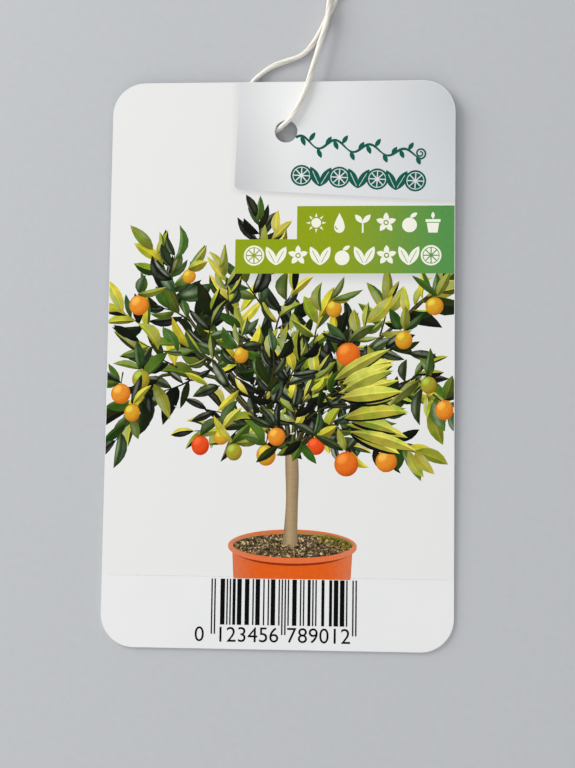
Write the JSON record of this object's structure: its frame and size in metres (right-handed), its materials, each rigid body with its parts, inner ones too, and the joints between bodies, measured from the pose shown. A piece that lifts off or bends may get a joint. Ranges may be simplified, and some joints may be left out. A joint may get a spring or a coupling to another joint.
{
  "type": "plant hang tag",
  "caption": "Flat plastic plant tag with rounded corners, a punched hole, a perforated tear-off strip and a knotted cotton string loop.",
  "frame": {"origin": "on the table, under the middle of the card as seen from above; the card's bottom edge and the string that lies on the table are at z = 0", "axes": "+X to the right of the printed face, +Y up the card from the tear-off strip to the hole, +Z out of the printed face"},
  "size_m": [0.076, 0.1971, 0.0042],
  "materials": {
    "card": "white rigid film, printed in colour on the front under a satin varnish, plain on the back",
    "string": "undyed twisted cotton",
    "print": "printing ink under a satin varnish"
  },
  "bodies": {
    "root": {"tag_card": "card", "string_under": "string", "string_hole": "string", "string_front": "string", "string_back": "string", "string_knot": "string", "string_tail_left": "string", "string_tail_right": "string"}
  },
  "joints": []
}
